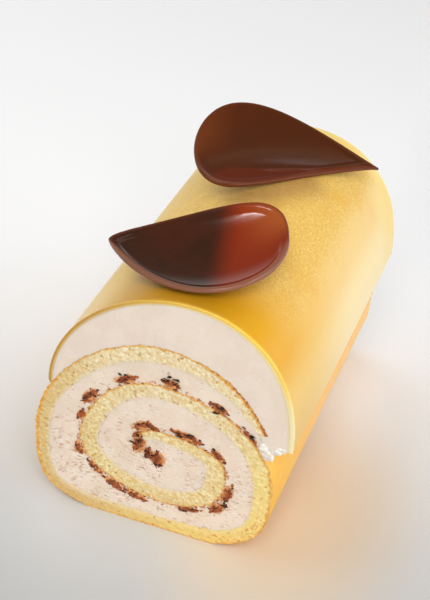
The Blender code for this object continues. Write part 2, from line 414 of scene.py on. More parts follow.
# %% Build the grain group
def build_grain_group():
    group = bpy.data.node_groups.new("grain", "ShaderNodeTree")
    group.interface.new_socket("Vector", in_out="INPUT", socket_type="NodeSocketVector")
    for name, usual in (("Fine Scale", 1500.0), ("Wide Scale", 200.0), ("Wide Share", 0.4)):
        socket = group.interface.new_socket(name, in_out="INPUT", socket_type="NodeSocketFloat")
        socket.default_value = usual
    group.interface.new_socket("Value", in_out="OUTPUT", socket_type="NodeSocketFloat")
    given = group.nodes.new("NodeGroupInput").outputs
    out = group.nodes.new("NodeGroupOutput")
    noises = []
    for name, detail, roughness in (("Fine Scale", 3.0, 0.6), ("Wide Scale", 2.0, 0.5)):
        made = add(group, "ShaderNodeTexNoise", {
            "Vector": given["Vector"], "Scale": given[name], "Detail": detail, "Roughness": roughness})
        noises.append(made.outputs["Fac"])
    both = add(group, "ShaderNodeMix", {0: given["Wide Share"], 2: noises[0], 3: noises[1]},
               data_type="FLOAT")
    group.links.new(both.outputs[0], out.inputs["Value"])
    return group


grain_group = build_grain_group()


def grain(tree, place, fine, wide, share):
    """The grain's value in a material, at that material's scales."""
    made = add(tree, "ShaderNodeGroup", {
        "Vector": place, "Fine Scale": fine, "Wide Scale": wide, "Wide Share": share,
    }, node_tree=grain_group)
    return made.outputs["Value"]


def bump(tree, shader, height, strength, distance):
    """Feed a height to the shader's normal."""
    made = add(tree, "ShaderNodeBump", {
        "Height": height, "Strength": strength, "Distance": distance})
    tree.links.new(made.outputs["Normal"], shader.inputs["Normal"])


print("grain group has", len(grain_group.nodes), "nodes")

# %% [markdown]
# ## Sponge
#
# Swiss roll sponge is an open crumb of thin walls round small bubbles, pale yellow inside and
# browned where it touched the baking sheet. Cut with a knife, half of the bubbles show as pits.
# The pits are real geometry here: a Voronoi noise gives a distance to the nearest bubble centre,
# and the vertices near one are pushed in. The browning needs to know how far a point is from the
# skin, so that is worked out from the grid and stored on the vertices for the material to read.
# So are the places where cream has soaked into the crumb, and a painted glow of light from the
# right on the turn there. The pores and the low parts of the crumb are painted darker, as painted
# shade. The crumb is darker towards the bottom and on the left.

# %% Sponge material
def make_sponge_material():
    material, tree, shader, place = new_material("sponge crumb")
    across, along, height = parted(tree, place)
    crumb = grain(tree, place, 1500.0, 520.0, 0.45)
    blotch = grain(tree, place, 700.0, 130.0, 0.25)
    browned = read(tree, "browning")
    outer = read(tree, "outer")
    above = ramp(tree, height, 0.035, 0.075)
    light = mixed(tree, above, screen(252, 236, 186), screen(253, 240, 210))
    deep = mixed(tree, above, screen(234, 202, 134), screen(238, 211, 158))
    # Painted shade where the crumb is low and in the pores, a painted glow of light from the right, and
    # darker towards the bottom and on the left.
    pale = coated(
        tree, mixed(tree, ramp(tree, crumb, 0.38, 0.60), deep, light),
        (ramp(tree, read(tree, "height"), -0.9, 0.3, 0.45, 0.0), screen(226, 186, 104)),
        (ramp(tree, height, 0.002, 0.022, 0.75, 0.0), screen(220, 176, 108)),
        (ramp(tree, across, -0.034, -0.016, 0.55, 0.0), screen(218, 182, 116)),
        (ramp(tree, blotch, 0.55, 0.66, 0.0, 0.4), screen(226, 172, 92)),
        (read(tree, "creamy"), screen(244, 222, 188)),
        (maths(tree, "MULTIPLY", read(tree, "light_from_right"), 0.65), screen(255, 228, 138)),
        (ramp(tree, read(tree, "pit"), 0.1, 0.9, 0.0, 0.65), screen(184, 126, 62)))
    gold = mixed(tree, ramp(tree, crumb, 0.35, 0.65), screen(224, 156, 66), screen(246, 196, 104))
    gold = mixed(tree, ramp(tree, browned, 1.0, 1.9), gold, screen(190, 108, 54))
    toward_back = ramp(tree, along, FRONT, FRONT + 0.07)
    skin = mixed(tree, toward_back, screen(254, 196, 84), screen(254, 204, 132))
    skin = mixed(tree, ramp(tree, blotch, 0.45, 0.70, 0.0, 0.35), skin, screen(240, 170, 84))
    colour = coated(tree, pale, (ramp(tree, browned, 0.1, 0.8), gold), (outer, skin))
    finish_shader(tree, shader, colour, {
        "Roughness": 0.66, "Specular IOR Level": 0.3, "Subsurface Weight": 0.12,
        "Subsurface Radius": (0.0022, 0.0014, 0.0007), "Subsurface Scale": 1.0})
    calm = maths(tree, "MULTIPLY_ADD", outer, -0.75, 1.0)
    bump(tree, shader, maths(tree, "MULTIPLY", crumb, calm), 0.5, 0.0006)
    return material


sponge_material = make_sponge_material()
print("sponge material has", len(sponge_material.node_tree.nodes), "nodes")


# %% Relief of the cut crumb
CRUMB_HEIGHT = 0.00026
PORE_DEPTH = 0.00045


def ease(value, low, high):
    """0 below low, 1 above high, and smooth between."""
    share = min(max((value - low) / (high - low), 0.0), 1.0)
    return share * share * (3 - 2 * share)


def crumb_relief(place):
    """Height of the cut crumb in metres, and how deep in a pore the place is, 0 to 1."""
    place = place / MM
    clump = noise.fractal(place * 0.85, 0.8, 2.1, 3)
    distances, centres = noise.voronoi(place * 0.62)
    luck = noise.noise(centres[0] * 5.3 + Vector((7.0, 1.0, 3.0)))
    radius = 0.08 + 0.42 * max(luck, 0.0)
    pore = 1 - ease(distances[0], radius * 0.5, radius + 0.12)
    return CRUMB_HEIGHT * clump - PORE_DEPTH * pore, pore


def face_way(y):
    """Which way a cut face looks: -1 at the front, 1 at the back, 0 between them."""
    if abs(y - FRONT) < MM * 0.01:
        return -1
    if abs(y - BACK) < MM * 0.01:
        return 1
    return 0


def wobble(x, y, z):
    """The hand-made unevenness of every layer's outline, strongest at the two cuts."""
    inside = max(min(y - FRONT, BACK - y), 0.0)
    at_cut = 1 - ease(inside, 0.0, 0.005)
    place = Vector((x, inside * 0.6, z)) / MM
    other = Vector((31.0, 0.0, 7.0))
    broad = 0.00008 + 0.00018 * at_cut
    fine = 0.00042 * at_cut
    move_x = broad * noise.noise(place * 0.10) + fine * noise.fractal(place * 0.62, 0.8, 2.2, 3)
    move_z = broad * noise.noise(place * 0.10 + other)
    move_z += fine * noise.fractal(place * 0.62 + other, 0.8, 2.2, 3)
    return move_x, move_z


# %% Sponge sheet
# Turn along the roll, and how deep the skin is in millimetres.
SKIN_DEPTH = (
    (0.5, 0.55), (4.6, 0.60), (5.6, 0.7), (5.8, 1.2), (6.6, 0.9), (7.4, 0.9), (7.8, 1.7), (8.2, 1.5),
    (8.4, 0.7), (8.9, 0.7), (9.2, 1.1), (9.7, 1.4),
)
# Turn along the roll, and how brown the skin is.
SKIN_BROWN = (
    (0.5, 0.9), (5.6, 1.0), (5.8, 0.9), (7.5, 0.9), (7.8, 1.2), (8.3, 1.1), (8.9, 0.85), (9.2, 1.3),
    (9.45, 2.0), (9.7, 1.9),
)
# Millimetres in from the skin.
BAKED_LINES = (1.2, 2.2, 3.4)
SPONGE_ACROSS = 15
SPONGE_ROWS = 13


def browning_at(place, turn, deep, uneven, ragged):
    """How brown the sheet is: its skin, and thin baked lines within it at the lower right."""
    skin = value_at(SKIN_DEPTH, turn) * (1 + 0.4 * uneven + 0.5 * ragged)
    amount = value_at(SKIN_BROWN, turn) * (1 - ease(deep, skin * 0.35, skin * 1.25 + 0.05))
    amount *= 0.85 + 0.5 * noise.noise(place.zxy / MM * 0.9)
    low_right = ease(turn, 5.9, 6.3) * (1 - ease(turn, 6.75, 7.0))
    for line in BAKED_LINES:
        near_line = 1 - ease(abs(deep - line - 0.9 * uneven), 0.08, 0.36)
        amount = max(amount, 1.2 * near_line * low_right * ease(ragged, -0.20, 0.25))
    return amount


def make_sponge():
    turns = evenly(skin_line, INNER_END, OUTER_END)
    near = [smooth_at(skin_line, turn) for turn in turns]
    far = [smooth_at(lining_line, turn) for turn in turns]
    shape = ribbon(near, far, SPONGE_ACROSS)
    across_layer = shape.verts.layers.float["across"]
    thickness_layer = layer(shape, "thickness")
    turn_layer = layer(shape, "turn")
    for number, vert in enumerate(shape.verts):
        index = number % len(turns)
        vert[turn_layer] = turns[index]
        vert[thickness_layer] = (near[index] - far[index]).length
    run_through(shape, SPONGE_ROWS)
    browning = layer(shape, "browning")
    pit = layer(shape, "pit")
    lift = layer(shape, "height")
    outer = layer(shape, "outer")
    light_from_right = layer(shape, "light_from_right")
    creamy = layer(shape, "creamy")
    for vert in shape.verts:
        place = vert.co.copy()
        x, y, z = place
        turn = vert[turn_layer]
        deep = vert[across_layer] * vert[thickness_layer] / MM
        uneven = noise.noise(Vector((x, y * 0.3, z)) / MM * 0.35)
        ragged = noise.noise(place / MM * 1.5)
        amount = browning_at(place, turn, deep, uneven, ragged)
        # A painted glow of the light from the right, on the turn there.
        vert[light_from_right] = ease(turn, 5.5, 6.0) * (1 - 0.9 * ease(turn, 6.8, 7.3))
        from_lining = vert[thickness_layer] / MM - deep
        reach = 1.5 + 0.9 * uneven + 1.0 * ease(z, 0.020, 0.006)
        vert[creamy] = 0.75 * (1 - ease(from_lining, 0.2 + 0.5 * ragged, reach))
        side = face_way(y)
        shift_x, shift_z = wobble(x, y, z)
        if side:
            height, pore = crumb_relief(place)
            vert.co.y += side * height
            vert[pit] = pore * (1 - min(amount, 1.0) * 0.5)
            vert[lift] = height / CRUMB_HEIGHT
        else:
            amount = 0.55
            vert[outer] = 1.0
        vert[browning] = amount
        vert.co.x += shift_x
        vert.co.z = max(vert.co.z + shift_z * ease(z, 0.0, 0.004), 0.0)
    piece = new_piece("sponge_sheet", shape, sponge_material)
    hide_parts("sponge")
    return piece


sponge_sheet = make_sponge()

# %% [markdown]
# ## Cream
#
# The whipped cream is pinkish beige and almost smooth, but the knife drags it: the lower half
# shows short level tears and pinholes, and caramel has stained it round the nut pieces and in
# patches along the sponge. The large tears are pushed into the grid, and the finest strokes of
# the knife are a noise stretched level in the material. Tears, pinholes and strokes are painted
# darker as painted shade, with pale painted highlights beside the strokes. The cream fills the
# space between one turn of sponge and the next, and the core. Between the turns it is a ribbon
# again. The core is a closed loop, and a grid rolled into a disc fills that, with its last row
# gathered in one point.

# %% Cream and mousse materials
# Turn along the roll, height over the skin, length and width.
NUT_BITS = (
    (0.00, -0.0122, 0.0070, 0.0046), (0.25, -0.0048, 0.0076, 0.0044), (0.70, 0.0004, 0.0072, 0.0034),
    (0.12, -0.0082, 0.0052, 0.0032), (0.45, -0.0016, 0.0042, 0.0028), (0.95, -0.0002, 0.0044, 0.0016),
    (1.22, 0.0002, 0.0104, 0.0032), (1.60, -0.0004, 0.0070, 0.0028), (2.15, 0.0002, 0.0078, 0.0030),
    (2.40, 0.0006, 0.0064, 0.0038), (2.74, 0.0002, 0.0086, 0.0022), (3.17, 0.0002, 0.0086, 0.0028),
    (3.36, 0.0006, 0.0078, 0.0026), (3.57, 0.0002, 0.0078, 0.0022), (3.81, 0.0002, 0.0054, 0.0034),
    (4.20, 0.0002, 0.0048, 0.0024), (4.39, 0.0004, 0.0076, 0.0038), (4.72, 0.0004, 0.0092, 0.0027),
    (5.06, 0.0004, 0.0060, 0.0031), (5.33, 0.0000, 0.0064, 0.0028), (5.55, -0.0004, 0.0064, 0.0017),
)


def make_cream_material(name, light, dark, torn):
    """Whipped cream or mousse, with more or less of the knife's strokes in it, 0 to 1."""
    material, tree, shader, place = new_material(name)
    soft = grain(tree, place, 900.0, 120.0, 0.6)
    blots = grain(tree, place, 1200.0, 500.0, 0.5)
    soaked = maths(tree, "MULTIPLY", read(tree, "stain"), ramp(tree, blots, 0.35, 0.55, 0.35, 1.3))
    level = add(tree, "ShaderNodeMapping", {"Vector": place, "Scale": (0.24, 0.24, 1.0)}).outputs[0]
    dragged = add(tree, "ShaderNodeTexNoise", {
        "Vector": level, "Scale": 1700.0, "Detail": 4.0, "Roughness": 0.65}).outputs["Fac"]
    low_down = ramp(tree, parted(tree, place)["Z"], 0.018, 0.060, 0.10, 0.0)
    patches = maths(tree, "ADD", grain(tree, place, 420.0, 140.0, 0.6), low_down)
    where = ramp(tree, patches, 0.515, 0.64, 0.0, torn)
    gap = maths(tree, "MULTIPLY", ramp(tree, dragged, 0.56, 0.66), where)
    fleck = maths(tree, "MULTIPLY", ramp(tree, dragged, 0.44, 0.38), where)
    # Over the cream: caramel stain, painted shade in pits and tears, a painted glow from the glaze, painted
    # shade in the knife's strokes and a pale painted highlight beside them.
    colour = coated(
        tree, mixed(tree, ramp(tree, soft, 0.38, 0.62), dark, light),
        (ramp(tree, soaked, 0.15, 1.0, 0.0, 0.9), screen(222, 142, 68)),
        (ramp(tree, read(tree, "pit"), 0.1, 1.0, 0.0, 0.6), screen(200, 140, 88)),
        (read(tree, "glaze_glow"), screen(255, 224, 134)),
        (gap, screen(194, 130, 74)),
        (fleck, screen(255, 244, 232)))
    finish_shader(tree, shader, colour, {
        "Roughness": 0.55, "Subsurface Weight": 0.25,
        "Subsurface Radius": (0.0030, 0.0020, 0.0015), "Subsurface Scale": 1.0})
    relief = maths(tree, "MULTIPLY_ADD", gap, -1.5, grain(tree, place, 2600.0, 700.0, 0.5))
    bump(tree, shader, relief, 0.3, 0.0003)
    return material


cream_material = make_cream_material("whipped cream", screen(251, 231, 212), screen(244, 222, 200), 1.0)
mousse_material = make_cream_material("mousse", screen(246, 228, 211), screen(241, 222, 204), 0.0)
print("nut pieces in the front cut:", len(NUT_BITS))


# %% Where the nut pieces lie
def bit_place(turn, over_skin, width):
    """Centre of a nut piece on the skin in the cut face, and the way of the skin there."""
    here = spiral_point(turn)
    way = (spiral_point(turn + 1 / STEPS_A_QUARTER) - here).normalized()
    outward = Vector((-way.y, way.x))
    return here + outward * (over_skin + width / 2), way


BACK_BITS = 17


def back_bits():
    """Pieces for the back cut, evenly spread along the roll and uneven in size."""
    chance = random.Random(11)
    rows = []
    for index in range(BACK_BITS):
        turn = 0.8 + 4.5 / (BACK_BITS - 1) * (index + chance.uniform(-0.2, 0.2))
        over_skin = chance.uniform(0.0004, 0.0007)
        length = chance.uniform(0.0040, 0.0070)
        width = chance.uniform(0.0024, 0.0036)
        rows.append((turn, over_skin, length, width))
    return rows


bit_spots = []
for bit_side, bit_rows in ((-1, NUT_BITS), (1, back_bits())):
    for bit_turn, bit_over, bit_length, bit_width in bit_rows:
        bit_centre, bit_way = bit_place(bit_turn, bit_over, bit_width)
        bit_spots.append((bit_side, bit_centre, bit_way, bit_length, bit_width))
print("nut pieces at both cuts:", len(bit_spots))


# %% Relief and stains of the cream
CREAM_SWELL = 0.00012
TEAR_DEPTH = 0.00034


def cream_relief(place):
    """Height of the cut cream, and how deep in a tear or a pinhole the place is."""
    low_down = 1 - ease(place.z, 0.020, 0.060)
    place = place / MM
    broad = noise.fractal(place * 0.16, 1.0, 2.0, 2)
    bend = 0.5 * noise.noise(place * 0.45)
    line = noise.noise(Vector((place.x * 0.44, place.y, place.z * 2.2 + bend)))
    patch = noise.noise(place * 0.27 + Vector((3.0, 2.0, 8.0)))
    fleck = noise.noise(place * 0.9 + Vector((1.0, 5.0, 2.0)))
    torn = ease(patch + 0.40 * low_down + 0.35 * fleck, 0.34, 0.60)
    tear = torn * (1 - ease(abs(line), 0.02, 0.16))
    distances, centres = noise.voronoi(place * 0.42)
    luck = noise.noise(centres[0] * 4.1)
    hole = 1 - ease(distances[0], 0.03, 0.08 + 0.22 * max(luck, 0.0))
    deep = max(tear, hole * 0.7)
    return CREAM_SWELL * broad - TEAR_DEPTH * deep, deep


def stain_at(x, z, side):
    """Caramel soaked into the cream round the nut pieces, 0 to 1."""
    most = 0.0
    for spot_side, centre, way, length, width in bit_spots:
        if spot_side != side:
            continue
        away = Vector((x, z)) - centre
        if away.length > length:
            continue
        along = away.dot(way) / (length * 0.62)
        over = away.dot(Vector((-way.y, way.x))) / (width * 0.72)
        most = max(most, 1 - math.sqrt(along ** 2 + over ** 2))
    return max(most, 0.0)


def finder_of(places):
    """A search tree that finds the nearest of some places."""
    finder = kdtree.KDTree(len(places))
    for index, place in enumerate(places):
        finder.insert(place, index)
    finder.balance()
    return finder


def in_cut(points):
    """Points of the cut face's drawing as places in space."""
    return [(point.x, 0.0, point.y) for point in points]


CARAMEL_POINTS = 1040
caramel_line = finder_of(in_cut(
    [smooth_at(skin_line, INNER_END + step * 0.005) for step in range(CARAMEL_POINTS)]))


def fringe_at(place):
    """Amber where caramel has soaked in along the sponge, in patches."""
    away = caramel_line.find((place.x, 0.0, place.z))[2]
    patch = noise.noise(place / MM * 0.4)
    return 0.75 * (1 - ease(away, 0.0002, 0.0013)) * ease(patch, -0.15, 0.30)


def dress_cream(shape):
    """Push tears and pores into a layer of cream, and store where it is torn and stained."""
    pit = layer(shape, "pit")
    stain = layer(shape, "stain")
    for vert in shape.verts:
        place = vert.co.copy()
        x, y, z = place
        side = face_way(y)
        shift_x, shift_z = wobble(x, y, z)
        if side:
            height, deep = cream_relief(place)
            vert.co.y += side * (height - CREAM_SWELL)
            vert[pit] = deep
            vert[stain] = max(stain_at(x, z, side) * 2.4, fringe_at(place))
        vert.co.x += shift_x
        vert.co.z += shift_z


# %% Cream filling
SEAM = 0.00004
CREAM_CELL = 0.00042
CREAM_ACROSS = 16
CREAM_RINGS = 34
CORE_MIDDLE = Vector((-0.0010, 0.0300))


def shifted(points, distance):
    """A line moved inward by one distance, or outward by less than nothing."""
    return moved_inward(points, [distance] * len(points))


def straight(start, end, cells):
    """Points after the first on a straight line, which closes a loop."""
    return [start.lerp(end, index / cells) for index in range(1, cells + 1)]


def make_cream():
    turns = evenly(lining_line, INNER_END + FULL_TURN, OUTER_END, CREAM_CELL)
    near = shifted([smooth_at(lining_line, turn) for turn in turns], SEAM)
    far = shifted([smooth_at(skin_line, turn - FULL_TURN) for turn in turns], -SEAM)
    shape = ribbon(near, far, CREAM_ACROSS)
    inner_turns = evenly(lining_line, INNER_END, INNER_END + FULL_TURN, CREAM_CELL)
    loop = shifted([smooth_at(lining_line, turn) for turn in inner_turns], SEAM)
    loop[-1] = near[0]
    loop += straight(near[0], far[0], CREAM_ACROSS)
    loop += straight(far[0], loop[0], 8)
    rounds = len(loop) - 1
    core = bmesh.new()
    bmesh.ops.create_grid(core, x_segments=rounds, y_segments=CREAM_RINGS, size=1.0)
    for vert in core.verts:
        index = round((vert.co.x + 1) / 2 * rounds)
        place = loop[index].lerp(CORE_MIDDLE, (vert.co.y + 1) / 2)
        vert.co = (place.x, FRONT, place.y)
    join_in(shape, core)
    bmesh.ops.remove_doubles(shape, verts=shape.verts, dist=0.000002)
    run_through(shape, 0)
    dress_cream(shape)
    piece = new_piece("cream_filling", shape, cream_material)
    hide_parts("cream")
    return piece


cream_filling = make_cream()

# %% [markdown]
# ## Nut pieces
#
# The caramel nut pieces are what the eye goes to in the cut face. Each one is a cluster of hard
# chips in dark caramel, so it is built of many small icospheres that noise has pushed out of
# shape, gathered in a flat heap that lies along the sponge. Faces stay flat, because broken
# caramel has facets. Near-black slivers, painted shade in the knife's cracks, and a spread of
# loose crumbs go between the heaps. Every chip carries one number, its shade, and the material
# turns that into caramel, nut or the black of a crack.

# %% Nut material
def make_nut_material():
    material, tree, shader, place = new_material("caramel nuts")
    spots = grain(tree, place, 1300.0, 420.0, 0.5)
    shade = read(tree, "shade")
    brown = mixed(tree, ramp(tree, spots, 0.36, 0.60), screen(98, 38, 16), screen(186, 98, 46))
    # Near black at the lowest shades, which the crack slivers use as painted shade.
    dark = mixed(tree, ramp(tree, shade, 0.10, 0.34), screen(34, 14, 8), brown)
    colour = mixed(tree, ramp(tree, shade, 0.62, 0.90), dark, screen(228, 156, 84))
    finish_shader(tree, shader, colour, {"Roughness": 0.42, "Specular IOR Level": 0.4})
    bump(tree, shader, spots, 0.5, 0.0004)
    return material


nut_material = make_nut_material()

# %% Heaps of chips
# Near-black slivers, painted shade in the cracks: X, Z and length.
CRACK_SHADOWS = (
    (0.0055, 0.0668, 0.0056), (0.0040, 0.0655, 0.0030), (0.0118, 0.0452, 0.0072),
    (0.0090, 0.0440, 0.0036), (-0.0050, 0.0390, 0.0040), (-0.0060, 0.0355, 0.0030),
    (0.0238, 0.0600, 0.0042), (0.0215, 0.0580, 0.0030), (-0.0105, 0.0628, 0.0042),
    (0.0335, 0.0522, 0.0034), (0.0268, 0.0195, 0.0032), (-0.0215, 0.0508, 0.0036),
    (0.0010, 0.0322, 0.0036), (0.0025, 0.0292, 0.0030), (0.0160, 0.0132, 0.0034),
)


def add_chip(shape, shade_layer, centre, y, sizes, tilt, shade, detail=2):
    """One broken chip: an icosphere squashed, turned and pushed out of shape."""
    made = bmesh.ops.create_icosphere(shape, subdivisions=detail, radius=0.5)
    turn = Matrix.Rotation(-tilt, 4, "Y")
    salt = Vector((centre.x, centre.y, shade)) * 700
    for vert in made["verts"]:
        push = 1 + 0.75 * noise.noise(vert.co * 2.7 + salt)
        local = Vector((vert.co.x * sizes[0], vert.co.y * sizes[1], vert.co.z * sizes[2])) * push
        vert.co = turn @ local + Vector((centre.x, y, centre.y))
        vert[shade_layer] = shade


def add_heap(shape, shade_layer, chance, spot):
    """A ragged heap along the sponge: dark on top, amber crumbs at its hem."""
    side, centre, way, length, width = spot
    plane = FRONT if side < 0 else BACK
    tilt = math.atan2(way.y, way.x)
    outward = Vector((-way.y, way.x))
    chips = max(round(length * width / (0.62 * MM) ** 2), 24)
    for _ in range(chips):
        along = min(max(chance.gauss(0, 0.24), -0.55), 0.55)
        over = min(max(chance.gauss(0, 0.20), -0.5), 0.45) * (1 - along * along)
        place = centre + way * (along * length) + outward * (over * width)
        place = place + Vector(wobble(place.x, plane, place.y))
        size = chance.uniform(0.5, 1.25) * MM
        sizes = (size * chance.uniform(1.0, 1.6), size * 0.8, size * chance.uniform(0.6, 1.0))
        shade = chance.choice((0.22, 0.3, 0.4, 0.5, 0.6))
        if over > 0.12 and chance.random() < 0.15:
            shade = 0.02
        if over < -0.12 and chance.random() < 0.55:
            shade = chance.uniform(0.66, 1.0)
        y = plane - side * chance.uniform(-0.05, 0.35) * MM
        add_chip(shape, shade_layer, place, y, sizes, tilt + chance.uniform(-0.5, 0.5), shade)


def add_crack_shadows(shape, shade_layer, chance, row):
    """Near-black slivers, painted shade in the cracks where the knife opened the caramel."""
    x, z, length = row
    for _ in range(5):
        place = Vector((x + chance.uniform(-0.4, 0.4) * length,
                        z + chance.uniform(-0.45, 0.45) * MM))
        sizes = (length * chance.uniform(0.2, 0.5), 0.5 * MM, chance.uniform(0.22, 0.5) * MM)
        tilt = chance.uniform(-0.3, 0.2)
        add_chip(shape, shade_layer, place, FRONT - 0.2 * MM, sizes, tilt, 0.0)


CRUMBS_A_BATCH = 30
CRUMB_BATCHES = 12


def add_crumbs(shape, shade_layer, chance, side):
    """A batch of small crumbs that the knife spread along the roll, between the heaps."""
    plane = FRONT if side < 0 else BACK
    for _ in range(CRUMBS_A_BATCH):
        turn = 0.45 + 5.2 * chance.random() ** 0.9
        over = chance.uniform(-0.3, 1.0) * chance.uniform(0.2, 1.3) * MM
        here, way = bit_place(turn, over, 0.0)
        size = chance.uniform(0.25, 0.70) * MM
        sizes = (size * chance.uniform(1.1, 2.2), size * 0.5, size * 0.7)
        here = here + Vector(wobble(here.x, plane, here.y))
        tilt = math.atan2(way.y, way.x) + chance.uniform(-0.5, 0.5)
        shade = chance.choice((0.35, 0.6, 0.75, 0.85, 0.95))
        add_chip(shape, shade_layer, here, plane - side * 0.05 * MM, sizes, tilt, shade, 1)


def make_nuts():
    chance = random.Random(5)
    jobs = [(add_heap, spot) for spot in bit_spots]
    jobs += [(add_crack_shadows, row) for row in CRACK_SHADOWS]
    jobs += [(add_crumbs, side) for side in (-1, 1) for _ in range(CRUMB_BATCHES)]
    whole = bmesh.new()
    for job, row in jobs:
        part = bmesh.new()
        job(part, layer(part, "shade"), chance, row)
        bmesh.ops.recalc_face_normals(part, faces=part.faces)
        join_in(whole, part)
    piece = new_piece("nut_pieces", whole, nut_material, smooth=False)
    return piece


nut_pieces = make_nuts()
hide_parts("cream")

# %% [markdown]
# ## Mousse dome
#
# The mousse was set in a half-round mould with the roll pressed in, so its top is an arch and
# its underside is the roll. Both are lines of the cut face that we have already, and the mousse
# is a ribbon between them. The stretches are matched piece by piece, so that no cell crosses the
# end of the sponge. It has the cream's material without the strokes, with its small holes painted
# darker as painted shade, and on the right, beside the glaze, a painted glow of the gold light
# that comes through the glaze.

# %% Arch of the dome
APEX_X = 0.0095
SPRING_Z = 0.0520
MOUSSE_TOP_Z = 0.0943
MOUSSE_LEFT = 0.0450
MOUSSE_RIGHT = 0.0365
LEFT_POWER = 1.87
RIGHT_POWER = 2.2
FOOT_SHARE = 0.025
GAP = 0.0003
GLAZE_THICKNESS = 0.0015
DOME_FOOT = Vector((0.0460, 0.0496))
DOME_CORNER = Vector((0.0416, 0.0472))
DOME_LEFT_TURN = 8.33
DOME_RIGHT_TURN = 5.745
ARCH_STEPS = 160


def arch(grown):
    """The dome's line from left to right, grown outwards by a distance."""
    rise = MOUSSE_TOP_Z - SPRING_Z + grown
    points = []
    for step in range(ARCH_STEPS + 1):
        share = FOOT_SHARE + (1 - FOOT_SHARE) * step / ARCH_STEPS
        out, up = quarter_point(MOUSSE_LEFT + grown, rise, LEFT_POWER, share)
        points.append(Vector((APEX_X - out, SPRING_Z + up)))
    for step in range(1, ARCH_STEPS + 1):
        up, out = quarter_point(rise, MOUSSE_RIGHT + grown, RIGHT_POWER, step / ARCH_STEPS)
        points.append(Vector((APEX_X + out, SPRING_Z + up)))
    points.append(Vector((DOME_FOOT.x + grown, DOME_FOOT.y)))
    return points


def part_above(points, height_from, height_to):
    """The right-hand stretch of an arch between two heights, going down."""
    return [point for point in points if point.x > APEX_X and height_to <= point.y <= height_from]


top_line = arch(GAP)
print("arch is", round(max(p.y for p in top_line) / MM, 1), "mm high, from x",
      round(top_line[0].x / MM, 1), "to", round(top_line[-1].x / MM, 1))


# %% Mousse
MOUSSE_CELL = 0.0005
MOUSSE_ACROSS = 30


def matched(top_stretches, bottom_stretches):
    """Two lines with the same number of points, matched stretch by stretch."""
    top = []
    bottom = []
    for above, below in zip(top_stretches, bottom_stretches):
        count = max(round(lengths_along(above)[-1] / MOUSSE_CELL), 4)
        new_top = spaced(above, count)
        new_bottom = spaced(below, count)
        top += new_top if not top else new_top[1:]
        bottom += new_bottom if not bottom else new_bottom[1:]
    return top, bottom


def make_mousse():
    height_end = 0.0585
    height_mouth = 0.0550
    height_side = 0.0520
    left = [point for point in top_line if point.x <= APEX_X or point.y >= height_end]
    to_mouth = [left[-1], *part_above(top_line, height_end, height_mouth)]
    to_side = [to_mouth[-1], *part_above(top_line, height_mouth, height_side)]
    to_foot = [to_side[-1], top_line[-1]]
    skin_turns = [DOME_LEFT_TURN + (OUTER_END - DOME_LEFT_TURN) * step / 200 for step in range(201)]
    over_roll = shifted([smooth_at(skin_line, turn) for turn in skin_turns], -SEAM)
    past = (skin_line[-1] - skin_line[-2]).normalized() * SEAM
    end_low = smooth_at(lining_line, OUTER_END) + past
    mouth_low = smooth_at(skin_line, MOUTH_TURN) + Vector((SEAM, SEAM))
    side_turns = [MOUTH_TURN + (DOME_RIGHT_TURN - MOUTH_TURN) * step / 8 for step in range(1, 9)]
    side = shifted([smooth_at(skin_line, turn) for turn in side_turns], -SEAM)
    bottom = [over_roll, [over_roll[-1], end_low], [end_low, mouth_low],
              [mouth_low, *side, DOME_CORNER]]
    top, low = matched([left, to_mouth, to_side, to_foot], bottom)
    shape = ribbon(top, low, MOUSSE_ACROSS)
    across_layer = shape.verts.layers.float["across"]
    run_through(shape, 0)
    pit = layer(shape, "pit")
    glaze_glow = layer(shape, "glaze_glow")
    glaze_side = finder_of(in_cut(top_line))
    for vert in shape.verts:
        x, y, z = vert.co
        side_way = face_way(y)
        from_glaze = glaze_side.find((x, 0.0, z))[2]
        # A painted glow of gold light from the glaze, beside it on the right.
        vert[glaze_glow] = 0.5 * (1 - ease(from_glaze, 0.0, 0.0012)) * ease(x, 0.022, 0.040)
        shift_x, shift_z = wobble(x, y, z)
        held = ease(vert[across_layer], 0.0, 0.4)
        if side_way:
            place = Vector((x, y, z)) / MM
            streak = noise.noise(Vector((place.x * 0.5, place.y, place.z * 0.06)))
            distances, _ = noise.voronoi(place * 0.30)
            hole = 1 - ease(distances[0], 0.03, 0.13)
            vert.co.y += side_way * (0.00006 * streak - 0.0002 * hole)
            vert[pit] = hole * 0.5
        vert.co.x += shift_x * held
        vert.co.z += shift_z * held
    piece = new_piece("mousse_dome", shape, mousse_material)
    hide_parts("mousse")
    return piece


mousse_dome = make_mousse()

# %% [markdown]
# ## Mousse squeezed out at the foot
#
# Where the mousse ends against the roll, a little of it was pressed out as the cake was unmoulded
# and cut. It is soft, so each blob is an icosphere pushed gently out of shape and flattened
# against the cut, and a row of them runs together into one ragged hem. Their mousse is painted
# paler than the dome's, as a painted highlight.

# %% Blobs at the foot of the dome
# X, Z and size, in millimetres.
FOOT_BLOBS = (
    (38.0, 49.6, 2.2), (38.4, 48.4, 3.2), (39.8, 47.6, 2.6), (39.4, 46.2, 2.6), (40.9, 46.3, 2.4),
    (40.7, 44.9, 1.8), (41.2, 48.3, 1.6), (42.9, 49.0, 2.6), (43.6, 49.9, 1.8), (45.0, 50.0, 1.4),
)


